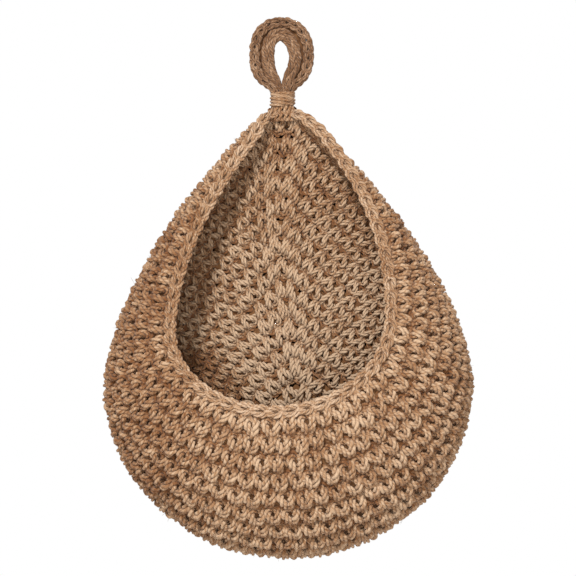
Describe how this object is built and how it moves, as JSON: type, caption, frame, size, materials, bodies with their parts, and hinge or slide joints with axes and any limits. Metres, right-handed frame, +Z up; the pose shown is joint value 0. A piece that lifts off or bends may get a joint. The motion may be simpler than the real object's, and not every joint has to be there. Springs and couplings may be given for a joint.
{
  "type": "wall basket",
  "caption": "Crocheted jute wall basket: a teardrop pouch with a flat back, a braided rim and a hanging loop on a wound neck.",
  "frame": {"origin": "hanging point: the top of the hole in the loop, in the middle of the loop's thickness", "axes": "+X to the right as seen from the front, +Y towards the wall, +Z up"},
  "size_m": [0.2095, 0.0812, 0.3105],
  "materials": {
    "jute": "matte",
    "jute_light": "matte"
  },
  "bodies": {
    "hanger": {"loop_outer_course": "jute", "loop_inner_course": "jute"},
    "basket": {"panel_round_01": "jute", "panel_round_02": "jute", "panel_round_03": "jute", "panel_round_04": "jute", "panel_round_05": "jute", "panel_round_06": "jute", "panel_round_07": "jute", "panel_round_08": "jute", "panel_round_09": "jute", "panel_round_10": "jute", "panel_round_11": "jute", "panel_round_12": "jute", "panel_round_13": "jute", "panel_round_14": "jute", "panel_round_15": "jute", "pocket_round_01": "jute", "pocket_round_02": "jute", "pocket_round_03": "jute", "pocket_round_04": "jute", "pocket_round_05": "jute", "pocket_round_06": "jute", "pocket_round_07": "jute", "pocket_round_08": "jute", "pocket_round_09": "jute", "pocket_round_10": "jute", "pocket_round_11": "jute", "pocket_round_12": "jute", "rim_edging": "jute_light", "gathered_neck": "jute", "neck_wrap": "jute_light"}
  },
  "joints": [
    {"name": "neck_swing", "type": "hinge", "parent": "hanger", "child": "basket", "pos_m": [0, 0, -0.0259], "axis": [-1, 0, 0], "range_deg": [0, 75]}
  ]
}
